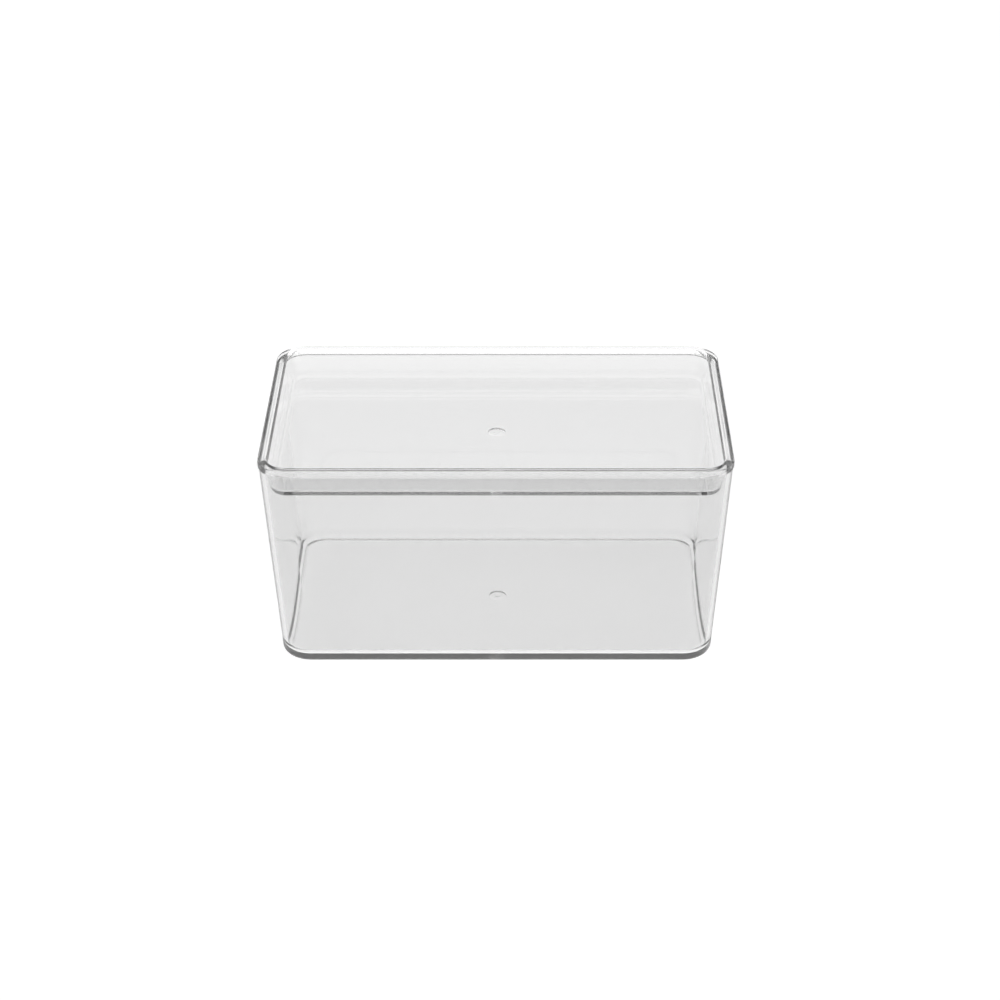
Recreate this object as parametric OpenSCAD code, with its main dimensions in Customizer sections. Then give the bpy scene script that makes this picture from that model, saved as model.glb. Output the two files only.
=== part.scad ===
// Clear storage box: a moulded tub and a lift-off lid with a sunken tray.
// Millimetres, +Z up. The origin is the centre of the face that the box stands on.

/* [Overall] */
// Length of the lid, which is the longest side of the box
length = 260; // [200:1:340]
// Width of the lid
width = 150; // [110:1:220]
// Height of the closed box
height = 129; // [90:1:180]

/* [Tub] */
// Thickness of the tub's walls
tub_wall = 2.8; // [2:0.1:4]
// Thickness of the tub's floor
tub_floor = 2.8; // [2:0.1:4]
// Slope of the tub's walls from the vertical, in degrees
tub_draft = 3; // [1:0.25:5]
// Radius of the tub's upright corners, outside
tub_corner = 17; // [13:0.5:24]
// Radius of the outer edge round the tub's foot
foot_edge = 3; // [1.5:0.25:5]
// Radius of the inner edge round the tub's floor
floor_edge = 6; // [3:0.5:10]

/* [Lid flange] */
// Height of the flange that lies on the tub's rim
flange_height = 4.1; // [3:0.1:6]
// How far the flange stands out past the tub's rim
flange_overhang = 0.4; // [0.2:0.1:1.5]
// Radius of the flange's corners, seen from above
flange_corner = 16; // [12:0.5:22]
// Height of the flared mouth at the top of the tray
mouth_height = 1.6; // [0.6:0.1:2.4]
// How much wider the flare makes the mouth, on each side
mouth_flare = 1.5; // [0.3:0.1:2]

/* [Lid tray] */
// Depth of the tray below the top of the flange
tray_depth = 16; // [10:0.5:24]
// Thickness of the tray's walls
tray_wall = 2.6; // [2:0.1:3.5]
// Thickness of the tray's panel
tray_panel = 2.6; // [2:0.1:3.5]
// Slope of the tray's two end walls from the vertical, in degrees
tray_end_slope = 15.5; // [6:0.5:20]
// Slope of the tray's front and back walls from the vertical, in degrees
tray_side_slope = 8.5; // [4:0.5:16]
// Radius of the inner edge round the tray's panel
tray_edge = 1.8; // [1:0.1:3]
// Radius of the outer edge round the bottom of the tray
plug_edge = 3; // [1.5:0.1:4]
// Gap between the tray and the tub's mouth, on each side
plug_clearance = 0.4; // [0.3:0.05:1]

/* [Gate marks] */
// Diameter of the shallow dish round each gate mark
gate_width = 10; // [6:0.5:14]
// Depth of that dish
gate_depth = 0.5; // [0.3:0.05:0.8]
// Diameter of the stub that the gate leaves in the dish
stub_width = 3; // [2:0.25:4]
// Height of that stub
stub_height = 0.3; // [0.1:0.05:0.5]

/* [Hidden] */

clear_plastic = [0.90, 0.92, 0.93, 0.45];
corner_steps = 48;
edge_steps = 32;
// How far a cutting solid reaches past the face that it cuts.
past = 1;
// Thickness of the thin discs that give a hull its flat end.
sliver = 0.01;

// Sizes seen from above are [along X, along Y].
lid_size = [length, width];
rim_height = height - flange_height;
mouth_size = shrink(lid_size, flange_overhang);
tub_slope = [tub_draft, tub_draft];
foot_size = drafted(mouth_size, rim_height, tub_slope);

tray_slope = [tray_end_slope, tray_side_slope];
// The plug is the part of the lid that hangs inside the tub. It is widest at the rim.
plug_drop = tray_depth + tray_panel - flange_height;
plug_size = shrink(mouth_size, tub_wall / cos(tub_draft) + plug_clearance);
plug_corner = tub_corner - tub_wall - plug_clearance;
// The tray's inner faces lie one wall inside the plug's outer faces.
tray_size_at_rim = [for (i = [0, 1]) plug_size[i] - 2 * tray_wall / cos(tray_slope[i])];
tray_size_at_top = drafted(tray_size_at_rim, -flange_height, tray_slope);
tray_size_at_panel = drafted(tray_size_at_top, tray_depth, tray_slope);
tray_corner = plug_corner - tray_wall;
tray_panel_corner = tray_corner / 2;

function shrink(size, each_side) = [size[0] - 2 * each_side, size[1] - 2 * each_side];

// The size that a sloping block has a given drop below the level of size.
function drafted(size, drop, slope) = [for (i = [0, 1]) size[i] - 2 * drop * tan(slope[i])];

// Puts its children at the four corners of a rectangle, each the corner radius in from the sides.
module at_corners(size, radius) {
    for (x = [-1, 1], y = [-1, 1])
        translate([x * (size[0] / 2 - radius), y * (size[1] / 2 - radius)])
            children();
}

// A flat plate with rounded corners, standing on z = 0.
module rounded_plate(size, radius, thickness) {
    linear_extrude(thickness) {
        square([size[0] - 2 * radius, size[1]], center = true);
        square([size[0], size[1] - 2 * radius], center = true);
        at_corners(size, radius) circle(radius, $fn = corner_steps);
    }
}

// A disc whose lower edge is rounded.
module soft_disc(radius, edge) {
    translate([0, 0, edge])
        rotate_extrude($fn = corner_steps)
            translate([radius - edge, 0])
                circle(edge, $fn = edge_steps);
}

// A block with rounded upright corners and a rounded lower edge, from z = 0 up to block_height.
module tapered_block(bottom, bottom_corner, top, top_corner, block_height, edge) {
    hull() {
        at_corners(bottom, bottom_corner) soft_disc(bottom_corner, edge);
        translate([0, 0, block_height - sliver])
            at_corners(top, top_corner)
                cylinder(sliver, r = top_corner, $fn = corner_steps);
    }
}

// The top of the tray's hollow: it widens from the foot up to the flange's top face, and past it.
module flared_mouth(foot, corner) {
    hull() {
        at_corners(foot, corner) cylinder(sliver, r = corner, $fn = corner_steps);
        translate([0, 0, mouth_height])
            at_corners(shrink(tray_size_at_top, -mouth_flare), corner + mouth_flare)
                cylinder(past, r = corner + mouth_flare, $fn = corner_steps);
    }
}

// The dish and stub that the moulding gate leaves, sunk into the underside of a plate at z = 0.
module gate_dish() {
    difference() {
        translate([0, 0, -past])
            cylinder(gate_depth + past, d = gate_width, $fn = corner_steps);
        translate([0, 0, gate_depth - stub_height])
            cylinder(gate_depth, d = stub_width, $fn = edge_steps);
    }
}

module tub() {
    inner_mouth = shrink(mouth_size, tub_wall / cos(tub_draft));
    inner_corner = tub_corner - tub_wall;
    inner_foot = drafted(inner_mouth, rim_height - tub_floor, tub_slope);
    inner_above = drafted(inner_mouth, -past, tub_slope);
    color(clear_plastic)
        difference() {
            tapered_block(foot_size, tub_corner, mouth_size, tub_corner, rim_height, foot_edge);
            translate([0, 0, tub_floor])
                tapered_block(inner_foot, inner_corner, inner_above, inner_corner,
                              rim_height - tub_floor + past, floor_edge);
            gate_dish();
        }
}

module lid() {
    underside = height - tray_depth - tray_panel;
    plug_foot = drafted(plug_size, plug_drop, tray_slope);
    mouth_foot = drafted(tray_size_at_top, mouth_height, tray_slope);
    color(clear_plastic)
        difference() {
            union() {
                translate([0, 0, rim_height])
                    rounded_plate(lid_size, flange_corner, flange_height);
                translate([0, 0, underside])
                    tapered_block(plug_foot, tray_panel_corner + tray_wall, plug_size, plug_corner,
                                  plug_drop + sliver, plug_edge);
            }
            translate([0, 0, height - tray_depth])
                tapered_block(tray_size_at_panel, tray_panel_corner, mouth_foot, tray_corner,
                              tray_depth - mouth_height, tray_edge);
            translate([0, 0, height - mouth_height])
                flared_mouth(mouth_foot, tray_corner);
            translate([0, 0, underside])
                gate_dish();
        }
}

tub();
lid();
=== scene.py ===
"""Clear storage box with a tray lid: the visual model, its studio and the photograph's camera."""
import logging
import math
from dataclasses import dataclass
from enum import Enum, IntEnum
from typing import Callable, ClassVar, Iterable

import bmesh
import bpy
from mathutils import Euler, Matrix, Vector


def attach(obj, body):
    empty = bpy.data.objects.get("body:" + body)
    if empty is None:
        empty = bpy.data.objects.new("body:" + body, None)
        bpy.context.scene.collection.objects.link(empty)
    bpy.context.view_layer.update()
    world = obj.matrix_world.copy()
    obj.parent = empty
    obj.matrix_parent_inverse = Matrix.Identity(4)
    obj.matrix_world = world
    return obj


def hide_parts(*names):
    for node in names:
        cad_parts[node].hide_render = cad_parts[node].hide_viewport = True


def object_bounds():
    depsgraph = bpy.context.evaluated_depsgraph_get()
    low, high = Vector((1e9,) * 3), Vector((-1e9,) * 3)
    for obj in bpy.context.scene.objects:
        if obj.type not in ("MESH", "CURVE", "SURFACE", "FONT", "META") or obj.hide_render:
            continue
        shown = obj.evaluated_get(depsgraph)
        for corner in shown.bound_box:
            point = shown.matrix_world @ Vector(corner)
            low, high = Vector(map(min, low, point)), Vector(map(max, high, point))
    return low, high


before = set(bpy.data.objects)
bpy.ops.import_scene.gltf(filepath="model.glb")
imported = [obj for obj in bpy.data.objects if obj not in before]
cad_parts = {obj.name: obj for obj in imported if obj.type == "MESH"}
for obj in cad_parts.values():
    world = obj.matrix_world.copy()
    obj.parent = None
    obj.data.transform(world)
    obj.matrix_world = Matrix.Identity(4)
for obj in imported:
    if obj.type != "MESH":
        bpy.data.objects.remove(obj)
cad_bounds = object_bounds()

logging.basicConfig(level=logging.INFO, format="%(levelname)s %(message)s")
log = logging.getLogger("storage_box")

MM = 0.001
# Two places closer together than this are the same place.
NEAR = 0.01 * MM
# No outline has a corner radius below this while it is being chosen.
LEAST_CORNER = 10 * MM
# A face is level where the upright part of its normal is above this.
LEVEL = 0.99
CORNERS = ((-1, -1), (-1, 1), (1, -1), (1, 1))
WHITE = "#ffffff"
BLACK = "#000000"
# Light runs along inside the walls for dozens of bounces before it leaves at an edge.
LONG_PATH = 72
# A lamp's light crosses up to this many clear faces on its way to the floor.
FACES_IN_SHADOW = 16

Size = tuple[float, float]
Colour = tuple[float, float, float, float]
Test = Callable[[bmesh.types.BMVert | bmesh.types.BMEdge | bmesh.types.BMFace], bool]


class Parts(Enum):
    """What a selection in edit mode is made of."""

    VERTS = (True, False, False)
    EDGES = (False, True, False)
    FACES = (False, False, True)


class Facets(IntEnum):
    """How many flat strips make up a rounded edge or a circle, by how large it looks."""

    HAIR = 3
    THIN = 5
    SMALL = 6
    LARGE = 8
    WIDE = 10
    CORNER = 24
    CIRCLE = 48


def linear(hex_colour: str) -> Colour:
    """Turns an sRGB colour into linear RGBA.

    Args:
        hex_colour: The colour, such as "#f4f4f2".

    Returns:
        Red, green, blue and an alpha of 1.
    """
    channels = [int(hex_colour[i:i + 2], 16) / 255 for i in (1, 3, 5)]
    red, green, blue = [c / 12.92 if c <= 0.04045 else ((c + 0.055) / 1.055) ** 2.4 for c in channels]
    return (red, green, blue, 1.0)


def shrink(size: Size, each_side: float) -> Size:
    """Gives the size that is smaller by each_side on every side."""
    return (size[0] - 2 * each_side, size[1] - 2 * each_side)


def drafted(size: Size, drop: float, slope: Size) -> Size:
    """Gives the size that a sloping block has a given drop below the level of size."""
    return (size[0] - 2 * drop * math.tan(slope[0]), size[1] - 2 * drop * math.tan(slope[1]))


def activate(obj: bpy.types.Object) -> None:
    """Makes one object the only selected and the active one.

    Args:
        obj: The object that the next operators work on.
    """
    bpy.ops.object.select_all(action="DESELECT")
    obj.select_set(True)
    bpy.context.view_layer.objects.active = obj


def pick(obj: bpy.types.Object, parts: Parts, test: Test) -> None:
    """Selects, in edit mode, the vertices, edges or faces that pass a test, and nothing else.

    Args:
        obj: The object that is in edit mode.
        parts: What is selected.
        test: Tells whether one vertex, edge or face is selected.
    """
    bpy.context.tool_settings.mesh_select_mode = parts.value
    bpy.ops.mesh.select_all(action="DESELECT")
    mesh = bmesh.from_edit_mesh(obj.data)
    chosen = {Parts.VERTS: mesh.verts, Parts.EDGES: mesh.edges, Parts.FACES: mesh.faces}[parts]
    for element in chosen:
        if test(element):
            element.select_set(True)
    bmesh.update_edit_mesh(obj.data)


def sink(depth: float) -> None:
    """Extrudes the selected face downwards."""
    bpy.ops.mesh.extrude_region_move(TRANSFORM_OT_translate={"value": (0, 0, -depth)})


def is_at(vert: bmesh.types.BMVert, height: float) -> bool:
    """Tells whether a vertex lies at a height."""
    return abs(vert.co.z - height) < NEAR


def within(vert: bmesh.types.BMVert, size: Size) -> bool:
    """Tells whether a vertex lies within a rounded rectangle, seen from above.

    Args:
        vert: The vertex.
        size: The rectangle's size.

    Returns:
        True on the rectangle's border too.
    """
    past_x = abs(vert.co.x) - size[0] / 2 + LEAST_CORNER
    past_y = abs(vert.co.y) - size[1] / 2 + LEAST_CORNER
    distance = math.hypot(past_x, past_y) if min(past_x, past_y) > 0 else max(past_x, past_y)
    return distance < LEAST_CORNER + NEAR


def level_face(height: float, size: Size | None = None) -> Test:
    """Gives a test for the level face at a height, which lies within size where size is given."""
    return lambda face: all(is_at(v, height) and (size is None or within(v, size)) for v in face.verts)


def spans(low: float, high: float) -> Test:
    """Gives a test for edges that run from one height to another."""
    return lambda edge: any(is_at(v, low) for v in edge.verts) and any(is_at(v, high) for v in edge.verts)


def in_corner(height: float, size: Size, side_x: int, side_y: int) -> Test:
    """Gives a test for the vertices of one quarter of an outline.

    Args:
        height: The height of the outline.
        size: The size that the outline measures.
        side_x: 1 for the quarters towards +X, -1 for the others.
        side_y: 1 for the quarters towards +Y, -1 for the others.

    Returns:
        A test for one vertex.
    """
    return lambda vert: (is_at(vert, height) and vert.co.x * side_x > 0 and vert.co.y * side_y > 0
                         and within(vert, size))


def outlines(height: float, inside: Size | None = None, outside: Size | None = None) -> Test:
    """Gives a test for the edges where a level face at a height meets a wall.

    Args:
        height: The height of the level face.
        inside: Where given, only edges within this size pass.
        outside: Where given, only edges beyond this size pass.

    Returns:
        A test for one edge.
    """
    def test(edge: bmesh.types.BMEdge) -> bool:
        """Tells whether one edge is part of the outline.

        Args:
            edge: The edge.

        Returns:
            True where it is.
        """
        if not all(is_at(v, height) for v in edge.verts):
            return False
        if all(abs(face.normal.z) > LEVEL for face in edge.link_faces):
            return False
        if inside is not None and not all(within(v, inside) for v in edge.verts):
            return False
        return outside is None or not any(within(v, outside) for v in edge.verts)

    return test


class Moulding:
    """One moulded piece, modelled with edit-mode operators that choose its parts by their place."""

    def __init__(self, name: str, size: Size, low: float, high: float, corner: float) -> None:
        """Starts from a block with rounded upright edges.

        Args:
            name: The piece's name.
            size: The block's size along X and Y.
            low: The height of its bottom face.
            high: The height of its top face.
            corner: The radius of its upright edges.
        """
        bpy.ops.object.select_all(action="DESELECT")
        bpy.ops.mesh.primitive_cube_add(size=1.0, location=(0, 0, 0))
        self.obj = bpy.context.object
        self.obj.name = name
        bpy.ops.object.mode_set(mode="EDIT")
        bpy.ops.mesh.select_all(action="SELECT")
        bpy.ops.transform.resize(value=(size[0], size[1], high - low), center_override=(0, 0, 0))
        bpy.ops.transform.translate(value=(0, 0, (high + low) / 2))
        self.round_edges(spans(low, high), corner, Facets.CORNER)

    def pick(self, parts: Parts, test: Test) -> None:
        """Selects the piece's vertices, edges or faces that pass a test."""
        pick(self.obj, parts, test)

    def round_edges(self, test: Test, radius: float, facets: Facets) -> None:
        """Rounds some of the piece's edges.

        Args:
            test: Tells whether one edge is rounded.
            radius: The radius that the edges get.
            facets: How many flat strips make up the rounding.
        """
        self.pick(Parts.EDGES, test)
        bpy.ops.mesh.bevel(offset_type="OFFSET", offset=radius, segments=int(facets), profile=0.5,
                           affect="EDGES", clamp_overlap=False)

    def inset_level(self, height: float, thickness: float) -> None:
        """Insets the level face at a height."""
        self.pick(Parts.FACES, level_face(height))
        bpy.ops.mesh.inset(thickness=thickness)

    def draw_in(self, height: float, size: Size, new: Size) -> None:
        """Moves the four corner arcs of an outline, so that its size changes and its radii don't.

        Args:
            height: The height of the outline.
            size: The size that it measures before.
            new: The size that it measures afterwards.
        """
        for side_x, side_y in CORNERS:
            self.pick(Parts.VERTS, in_corner(height, size, side_x, side_y))
            bpy.ops.transform.translate(value=(side_x * (new[0] - size[0]) / 2,
                                               side_y * (new[1] - size[1]) / 2, 0))

    def scale_corners(self, height: float, size: Size, factor: float) -> None:
        """Scales the four corner arcs of an outline about the sharp corners that they round off.

        Args:
            height: The height of the outline.
            size: The size that it measures, before and afterwards.
            factor: The new corner radius as a share of the old one.
        """
        for side_x, side_y in CORNERS:
            self.pick(Parts.VERTS, in_corner(height, size, side_x, side_y))
            corner = (side_x * size[0] / 2, side_y * size[1] / 2, height)
            bpy.ops.transform.resize(value=(factor, factor, 1), center_override=corner)

    def cut(self, cutter: bpy.types.Object) -> None:
        """Cuts another solid out of this one.

        Args:
            cutter: The solid that is cut out, which is deleted afterwards.
        """
        modifier = self.obj.modifiers.new("cut", "BOOLEAN")
        modifier.operation = "DIFFERENCE"
        modifier.solver = "EXACT"
        modifier.object = cutter
        activate(self.obj)
        bpy.ops.object.modifier_apply(modifier=modifier.name)
        bpy.data.objects.remove(cutter, do_unlink=True)

    def finish(self) -> bpy.types.Object:
        """Smooths the shading, so that flat faces stay flat and rounded edges run into them.

        Returns:
            The finished piece.
        """
        activate(self.obj)
        bpy.ops.object.shade_smooth()
        modifier = self.obj.modifiers.new("normals", "WEIGHTED_NORMAL")
        # The largest weight lets the flat faces alone set the normals at their borders.
        modifier.weight = 100
        bpy.ops.object.modifier_apply(modifier=modifier.name)
        return self.obj


def add_node(tree: bpy.types.NodeTree, kind: str, settings: dict | None = None,
             links: dict | None = None, operation: str | None = None) -> bpy.types.Node:
    """Adds one node.

    Args:
        tree: The tree that gets the node.
        kind: The node's type.
        settings: Values for its input sockets, by name or number.
        links: Output sockets to link to its input sockets, by name or number.
        operation: What the node works out, where it offers a choice.

    Returns:
        The new node.
    """
    node = tree.nodes.new(kind)
    if operation is not None:
        node.operation = operation
    for name, value in (settings or {}).items():
        node.inputs[name].default_value = value
    for name, source in (links or {}).items():
        tree.links.new(source, node.inputs[name])
    return node


def new_material(name: str) -> bpy.types.Material:
    """Makes a material with an empty node tree.

    Args:
        name: The material's name.

    Returns:
        The new material.
    """
    material = bpy.data.materials.new(name)
    material.use_nodes = True
    material.node_tree.nodes.clear()
    return material


@dataclass(frozen=True)
class ClearAcrylic:
    """Injection-moulded clear acrylic: polished faces, slow moulding waves and fine handling scuffs."""

    name: str
    ior: float = 1.49
    absorption_per_metre: float = 7.0
    tint: str = "#fbfbfb"
    shadow_tint: str = "#f3f3f3"
    smoothest: float = 0.008
    scuffed: float = 0.045
    # The noise values between which a patch goes from polished to scuffed.
    scuffs_start: float = 0.45
    scuffs_full: float = 0.75
    scuff_size: float = 18 * MM
    scuff_detail: float = 4.0
    wave_size: float = 30 * MM
    wave_detail: float = 1.0
    wave_height: float = 0.02 * MM

    def material(self) -> bpy.types.Material:
        """Makes the material, which reads as clear plastic with grey walls and darker edges.

        Returns:
            The new material.
        """
        made = new_material(self.name)
        tree = made.node_tree
        place = add_node(tree, "ShaderNodeTexCoord").outputs["Object"]
        # A lamp's light passes through, so the box throws the pale shadow of clear plastic.
        passing = add_node(tree, "ShaderNodeBsdfTransparent", {"Color": linear(self.shadow_tint)})
        lamp_ray = add_node(tree, "ShaderNodeLightPath").outputs["Is Shadow Ray"]
        surface = add_node(tree, "ShaderNodeMixShader", {}, {0: lamp_ray, 1: self.clear_shader(tree, place),
                                                             2: passing.outputs["BSDF"]})
        # Light that runs a long way inside the plastic goes grey: this darkens the edges and corners.
        depth = add_node(tree, "ShaderNodeVolumeAbsorption",
                         {"Color": linear(BLACK), "Density": self.absorption_per_metre})
        add_node(tree, "ShaderNodeOutputMaterial", {}, {"Surface": surface.outputs["Shader"],
                                                        "Volume": depth.outputs["Volume"]})
        return made

    def clear_shader(self, tree: bpy.types.NodeTree, place: bpy.types.NodeSocket) -> bpy.types.NodeSocket:
        """Adds the polished, faintly scuffed and faintly wavy plastic.

        Args:
            tree: The material's node tree.
            place: The socket that carries the place on the piece.

        Returns:
            The shader's output socket.
        """
        scuffs = add_node(tree, "ShaderNodeTexNoise",
                          {"Scale": 1 / self.scuff_size, "Detail": self.scuff_detail}, {"Vector": place})
        # Faint scuffs dull some patches a little, as on a box that has been handled.
        roughness = add_node(tree, "ShaderNodeMapRange",
                             {"From Min": self.scuffs_start, "From Max": self.scuffs_full,
                              "To Min": self.smoothest, "To Max": self.scuffed},
                             {"Value": scuffs.outputs["Fac"]})
        waves = add_node(tree, "ShaderNodeTexNoise",
                         {"Scale": 1 / self.wave_size, "Detail": self.wave_detail}, {"Vector": place})
        # The melt leaves slow waves in the faces, which bend what is seen through them a little.
        bump = add_node(tree, "ShaderNodeBump", {"Strength": 1.0, "Distance": self.wave_height},
                        {"Height": waves.outputs["Fac"]})
        clear = add_node(tree, "ShaderNodeBsdfPrincipled",
                         {"Base Color": linear(self.tint), "IOR": self.ior, "Transmission Weight": 1.0},
                         {"Roughness": roughness.outputs["Result"], "Normal": bump.outputs["Normal"]})
        return clear.outputs["BSDF"]


@dataclass(frozen=True)
class GateMark:
    """The shallow dish, with a stub in it, that the moulding gate leaves under a plate."""

    width: float = 10 * MM
    depth: float = 0.5 * MM
    stub_width: float = 3 * MM
    stub_height: float = 0.3 * MM
    # How far the cutting solid reaches below the plate.
    past: float = 1 * MM

    def cutter(self, underside: float) -> bpy.types.Object:
        """Makes the solid that cuts the mark into a plate.

        Args:
            underside: The height of the plate's underside.

        Returns:
            The cutting solid.
        """
        height = self.depth + self.past
        top = underside + self.depth
        bpy.ops.object.mode_set(mode="OBJECT")
        bpy.ops.object.select_all(action="DESELECT")
        bpy.ops.mesh.primitive_cylinder_add(vertices=int(Facets.CIRCLE), radius=self.width / 2,
                                            depth=height, end_fill_type="NGON", location=(0, 0, 0))
        obj = bpy.context.object
        bpy.ops.object.mode_set(mode="EDIT")
        bpy.ops.mesh.select_all(action="SELECT")
        bpy.ops.transform.translate(value=(0, 0, top - height / 2))
        pick(obj, Parts.FACES, level_face(top))
        bpy.ops.mesh.inset(thickness=(self.width - self.stub_width) / 2)
        sink(self.stub_height)
        bpy.ops.object.mode_set(mode="OBJECT")
        return obj


@dataclass(frozen=True)
class BoxSizes:
    """The sizes that the tub and the lid share."""

    length: float
    width: float
    height: float
    flange_height: float = 4.1 * MM
    flange_overhang: float = 0.4 * MM
    wall: float = 2.8 * MM
    draft: float = math.radians(3)
    corner: float = 17 * MM

    @property
    def lid_size(self) -> Size:
        """The lid's size, seen from above."""
        return (self.length, self.width)

    @property
    def rim_height(self) -> float:
        """The height of the tub's rim."""
        return self.height - self.flange_height

    @property
    def mouth_size(self) -> Size:
        """The tub's outer size at its rim."""
        return shrink(self.lid_size, self.flange_overhang)

    @property
    def rim_width(self) -> float:
        """The rim's width, seen from above."""
        return self.wall / math.cos(self.draft)


@dataclass(frozen=True)
class BoxPart:
    """What the tub and the lid have in common."""

    sizes: BoxSizes
    gate: GateMark
    plastic: ClearAcrylic
    # The CAD node that the part stands for, which has the same name as its body.
    node: ClassVar[str]

    def build(self) -> bpy.types.Object:
        """Models the part, which the tub and the lid each do in their own way."""
        raise NotImplementedError

    def dress(self, piece: bpy.types.Object) -> None:
        """Gives the modelled piece its plastic and its body, and hides the CAD node.

        Args:
            piece: The modelled piece.
        """
        piece.data.materials.clear()
        piece.data.materials.append(self.plastic.material())
        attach(piece, self.node)
        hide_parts(self.node)


@dataclass(frozen=True)
class Tub(BoxPart):
    """The moulded tub: a floor, four sloping walls and a flat rim."""

    node: ClassVar[str] = "tub"
    floor: float = 2.8 * MM
    foot_edge: float = 3 * MM
    floor_edge: float = 6 * MM
    rim_edge: float = 0.4 * MM

    def build(self) -> bpy.types.Object:
        """Models the tub: a block that narrows downwards, then its hollow, edges and gate mark.

        Returns:
            The modelled piece.
        """
        sizes = self.sizes
        slope = (sizes.draft, sizes.draft)
        rim = sizes.rim_height
        depth = rim - self.floor
        mouth = sizes.mouth_size
        inner_mouth = shrink(mouth, sizes.rim_width)

        tub = Moulding("tub_clear", mouth, 0, rim, sizes.corner)
        tub.draw_in(0, mouth, drafted(mouth, rim, slope))
        tub.inset_level(rim, sizes.rim_width)
        sink(depth)
        tub.draw_in(self.floor, inner_mouth, drafted(inner_mouth, depth, slope))
        tub.round_edges(outlines(0), self.foot_edge, Facets.LARGE)
        tub.round_edges(outlines(self.floor), self.floor_edge, Facets.WIDE)
        tub.round_edges(outlines(rim), self.rim_edge, Facets.HAIR)
        tub.cut(self.gate.cutter(0))
        return tub.finish()


@dataclass(frozen=True)
class Lid(BoxPart):
    """The moulded lid: a flange on the tub's rim and a tray that sinks into its mouth."""

    node: ClassVar[str] = "lid"
    depth: float = 16 * MM
    wall: float = 2.6 * MM
    panel: float = 2.6 * MM
    slope: Size = (math.radians(15.5), math.radians(8.5))
    clearance: float = 0.4 * MM
    flange_corner: float = 16 * MM
    tray_edge: float = 1.8 * MM
    plug_edge: float = 3 * MM
    mouth_edge: float = 1.9 * MM
    top_edge: float = 0.8 * MM
    under_edge: float = 0.3 * MM
    # A film of air stays between the flange and the rim, so light crosses two faces there.
    air_film: float = 0.05 * MM

    @property
    def seat(self) -> float:
        """How far the plug's outer face lies in from the flange's, at the rim."""
        return self.sizes.flange_overhang + self.sizes.rim_width + self.clearance

    @property
    def plug_size(self) -> Size:
        """The plug's size at the rim: the plug is the part of the lid that hangs inside the tub."""
        return shrink(self.sizes.lid_size, self.seat)

    @property
    def plug_corner(self) -> float:
        """The plug's corner radius at the rim."""
        return self.sizes.corner - self.sizes.wall - self.clearance

    @property
    def tray_corner(self) -> float:
        """The tray's corner radius at the top of the flange."""
        return self.plug_corner - self.wall

    @property
    def panel_corner(self) -> float:
        """The tray's corner radius at its panel."""
        return self.tray_corner / 2

    @property
    def inset_corner(self) -> float:
        """The corner radius that the flange's outline has once it is inset to the plug."""
        return self.flange_corner - self.seat

    @property
    def underside(self) -> float:
        """The height of the plug's underside."""
        return self.sizes.height - self.depth - self.panel

    @property
    def flange_underside(self) -> float:
        """The height of the flange's underside."""
        return self.sizes.rim_height + self.air_film

    @property
    def tray_size(self) -> Size:
        """The tray's size at the top of the flange, one wall inside the plug's outer faces."""
        at_rim = [size - 2 * self.wall / math.cos(angle) for size, angle in zip(self.plug_size, self.slope)]
        return drafted((at_rim[0], at_rim[1]), self.flange_underside - self.sizes.height, self.slope)

    def build(self) -> bpy.types.Object:
        """Models the lid: the flange's plate, then its plug, tray, edges and gate mark.

        Returns:
            The modelled piece.
        """
        top, rim = self.sizes.height, self.flange_underside
        lid = Moulding("lid_clear", self.sizes.lid_size, rim, top, self.flange_corner)
        self.hang_plug(lid)
        self.sink_tray(lid)
        lid.round_edges(outlines(self.underside), self.plug_edge, Facets.LARGE)
        lid.round_edges(outlines(top - self.depth), self.tray_edge, Facets.SMALL)
        lid.round_edges(outlines(top, inside=self.tray_size), self.mouth_edge, Facets.SMALL)
        lid.round_edges(outlines(top, outside=self.plug_size), self.top_edge, Facets.THIN)
        lid.round_edges(outlines(rim, outside=self.plug_size), self.under_edge, Facets.HAIR)
        lid.cut(self.gate.cutter(self.underside))
        return lid.finish()

    def hang_plug(self, lid: Moulding) -> None:
        """Extrudes the plug down from the flange, narrowing to its foot.

        Args:
            lid: The flange's plate.
        """
        rim, plug = self.flange_underside, self.plug_size
        foot = drafted(plug, rim - self.underside, self.slope)
        lid.inset_level(rim, self.seat)
        lid.scale_corners(rim, plug, self.plug_corner / self.inset_corner)
        lid.pick(Parts.FACES, level_face(rim, plug))
        sink(rim - self.underside)
        lid.draw_in(self.underside, plug, foot)
        lid.scale_corners(self.underside, foot, (self.panel_corner + self.wall) / self.plug_corner)

    def sink_tray(self, lid: Moulding) -> None:
        """Sinks the tray into the flange's top, narrowing to its panel.

        Args:
            lid: The flange's plate with its plug.
        """
        top, tray = self.sizes.height, self.tray_size
        panel = drafted(tray, self.depth, self.slope)
        lid.inset_level(top, self.seat)
        lid.draw_in(top, self.plug_size, tray)
        lid.scale_corners(top, tray, self.tray_corner / self.inset_corner)
        lid.pick(Parts.FACES, level_face(top, tray))
        sink(self.depth)
        lid.draw_in(top - self.depth, tray, panel)
        lid.scale_corners(top - self.depth, panel, self.panel_corner / self.tray_corner)


def facing(place: Vector, target: Vector, axis: str) -> Euler:
    """Gives the turn that points one of an object's own axes from its place to a target."""
    return (target - place).to_track_quat(axis, "Y").to_euler()


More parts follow.
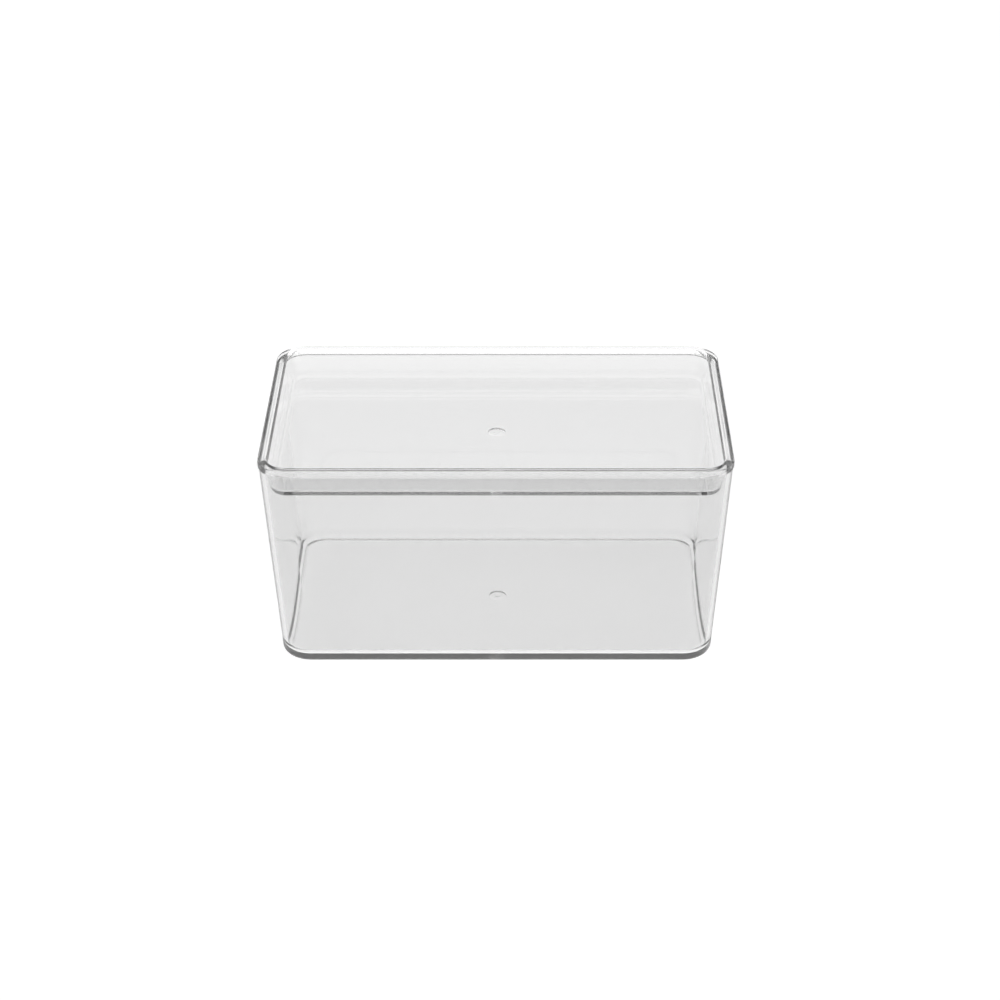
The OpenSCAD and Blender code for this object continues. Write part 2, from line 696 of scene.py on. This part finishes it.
@dataclass(frozen=True)
class SoftLamp:
    """A square lamp with a soft edge to its shadows."""

    name: str
    place: tuple[float, float, float]
    watts: float
    size: float = 1.6

    def add(self, target: Vector) -> None:
        """Adds the lamp.

        Args:
            target: The place that it faces.
        """
        lamp = bpy.data.lights.new(self.name, "AREA")
        lamp.size = self.size
        lamp.energy = self.watts
        obj = bpy.data.objects.new(self.name, lamp)
        bpy.context.scene.collection.objects.link(obj)
        obj.location = self.place
        obj.rotation_euler = facing(Vector(self.place), target, "-Z")
        obj.visible_camera = False


@dataclass(frozen=True)
class GreyCard:
    """A glowing grey card that is seen only in the plastic, where it tones down the white."""

    name: str
    place: tuple[float, float, float]
    size: Size
    colour: str

    def add(self, target: Vector) -> None:
        """Adds the card.

        Args:
            target: The place that it faces.
        """
        bpy.ops.object.select_all(action="DESELECT")
        bpy.ops.mesh.primitive_plane_add(size=1.0, location=self.place)
        card = bpy.context.object
        card.name = self.name
        card.scale = (self.size[0], self.size[1], 1)
        card.rotation_euler = facing(Vector(self.place), target, "Z")
        material = new_material(f"{self.name}_paper")
        grey = add_node(material.node_tree, "ShaderNodeEmission",
                        {"Color": linear(self.colour), "Strength": 1.0})
        add_node(material.node_tree, "ShaderNodeOutputMaterial", {}, {"Surface": grey.outputs["Emission"]})
        card.data.materials.append(material)
        card.visible_camera = False
        card.visible_diffuse = False
        card.visible_shadow = False


@dataclass(frozen=True)
class Glow:
    """How strongly something glows, by what the ray that meets it is for."""

    # Where it is seen, directly or through the plastic.
    seen: float
    # Where it is seen in a reflection.
    mirrored: float
    # Where it only lights matt things.
    lit: float

    def strength(self, tree: bpy.types.NodeTree) -> bpy.types.NodeSocket:
        """Adds the nodes that work out the strength.

        Args:
            tree: The node tree of the floor's material or of the world.

        Returns:
            The socket that carries the strength.
        """
        rays = add_node(tree, "ShaderNodeLightPath").outputs
        direct = add_node(tree, "ShaderNodeMath", {},
                          {0: rays["Is Camera Ray"], 1: rays["Is Transmission Ray"]}, operation="MAXIMUM")
        without_mirrors = add_node(tree, "ShaderNodeMath", {1: self.seen - self.lit, 2: self.lit},
                                   {0: direct.outputs["Value"]}, operation="MULTIPLY_ADD")
        total = add_node(tree, "ShaderNodeMath", {1: self.mirrored - self.lit},
                         {0: rays["Is Glossy Ray"], 2: without_mirrors.outputs["Value"]},
                         operation="MULTIPLY_ADD")
        return total.outputs["Value"]


@dataclass(frozen=True)
class Studio:
    """A white floor, a white surround, soft lamps and grey cards that the plastic mirrors."""

    floor_size: float = 12.0
    # The box stands this far above the floor, so that its underside and the floor stay apart.
    floor_gap: float = 0.05 * MM
    floor_colour: str = "#e9e9e9"
    floor_roughness: float = 0.9
    floor_glow: Glow = Glow(seen=0.73, mirrored=0.1, lit=0.0)
    surround: Glow = Glow(seen=1.0, mirrored=0.5, lit=0.25)
    # The lamps and cards stand round the box and face this place.
    target: tuple[float, float, float] = (0, 0, 0.06)
    around: tuple[SoftLamp | GreyCard, ...] = (
        SoftLamp("key_left", (-1.5, 1.0, 1.7), watts=11.0),
        SoftLamp("fill_right", (1.7, -0.9, 1.6), watts=4.0),
        GreyCard("card_back", (0.1, 2.6, 1.9), (4.0, 2.0), "#b8b8b8"),
        GreyCard("card_right", (2.6, 0.3, 1.0), (3.0, 1.7), "#8a8a8a"),
        GreyCard("card_left", (-2.8, 0.0, 1.0), (3.0, 1.2), "#b4b4b4"),
    )

    def build(self) -> None:
        """Sets up the world, the floor, the lamps and the cards."""
        self.light_world()
        self.lay_floor()
        for thing in self.around:
            thing.add(Vector(self.target))

    def light_world(self) -> None:
        """Makes the surround white where it is seen, directly or in the plastic, and dimmer as light."""
        world = bpy.data.worlds.new("white_surround")
        bpy.context.scene.world = world
        world.use_nodes = True
        tree = world.node_tree
        tree.nodes.clear()
        white = add_node(tree, "ShaderNodeBackground", {"Color": linear(WHITE)},
                         {"Strength": self.surround.strength(tree)})
        add_node(tree, "ShaderNodeOutputWorld", {}, {"Surface": white.outputs["Background"]})

    def lay_floor(self) -> None:
        """Lays the floor, which glows where it is seen, so that it reads white but keeps the shadow."""
        bpy.ops.object.select_all(action="DESELECT")
        bpy.ops.mesh.primitive_plane_add(size=self.floor_size, location=(0, 0, -self.floor_gap))
        floor = bpy.context.object
        floor.name = "floor"
        material = new_material("white_paper_matt")
        tree = material.node_tree
        paper = add_node(tree, "ShaderNodeBsdfPrincipled",
                         {"Base Color": linear(self.floor_colour), "Roughness": self.floor_roughness,
                          "Specular IOR Level": 0.0, "Emission Color": linear(WHITE)},
                         {"Emission Strength": self.floor_glow.strength(tree)})
        add_node(tree, "ShaderNodeOutputMaterial", {}, {"Surface": paper.outputs["BSDF"]})
        floor.data.materials.append(material)


@dataclass(frozen=True)
class PhotoCamera:
    """The photograph's camera, as fitted to the box's outline."""

    place: tuple[float, float, float] = (0.01068, -1.12421, 0.73370)
    pitch_down: float = math.radians(31.942)
    lens: float = 80.94
    sensor: float = 36.0
    shift: Size = (-0.0155, 0.05)
    sees_as_far_as: float = 100.0

    def set_up(self) -> None:
        """Adds the camera and makes it the scene's."""
        data = bpy.data.cameras.new("photo_camera")
        data.sensor_fit = "HORIZONTAL"
        data.sensor_width = self.sensor
        data.lens = self.lens
        data.shift_x, data.shift_y = self.shift
        data.clip_end = self.sees_as_far_as
        obj = bpy.data.objects.new("photo_camera", data)
        bpy.context.scene.collection.objects.link(obj)
        obj.location = self.place
        obj.rotation_euler = (math.pi / 2 - self.pitch_down, 0, 0)
        bpy.context.scene.camera = obj


def set_light_paths() -> None:
    """Lets light go on for long enough inside the plastic, and keeps the colours as they are."""
    cycles = bpy.context.scene.cycles
    cycles.max_bounces = LONG_PATH
    cycles.transmission_bounces = LONG_PATH
    cycles.glossy_bounces = LONG_PATH
    cycles.transparent_max_bounces = FACES_IN_SHADOW
    bpy.context.scene.view_settings.view_transform = "Standard"


def main() -> None:
    """Builds the box, its studio and its camera."""
    low, high = cad_bounds
    sizes = BoxSizes(length=high[0] - low[0], width=high[1] - low[1], height=high[2] - low[2])
    gate = GateMark()
    # The tub's two walls, seen one behind the other, are greyer in the photograph than the lid's panel.
    # Its grey tint is painted shade: the same clear plastic as the lid, darkened to stand for the grey seen
    # through its two walls.
    tub_plastic = ClearAcrylic("moulded_clear_acrylic_tub", tint="#eaeaea")
    lid_plastic = ClearAcrylic("moulded_clear_acrylic_lid")
    for part in (Tub(sizes, gate, tub_plastic), Lid(sizes, gate, lid_plastic)):
        piece = part.build()
        part.dress(piece)
        log.info("%s: %d faces, stands for %s", piece.name, len(piece.data.polygons), part.node)
    Studio().build()
    PhotoCamera().set_up()
    set_light_paths()


if __name__ == "__main__":
    main()
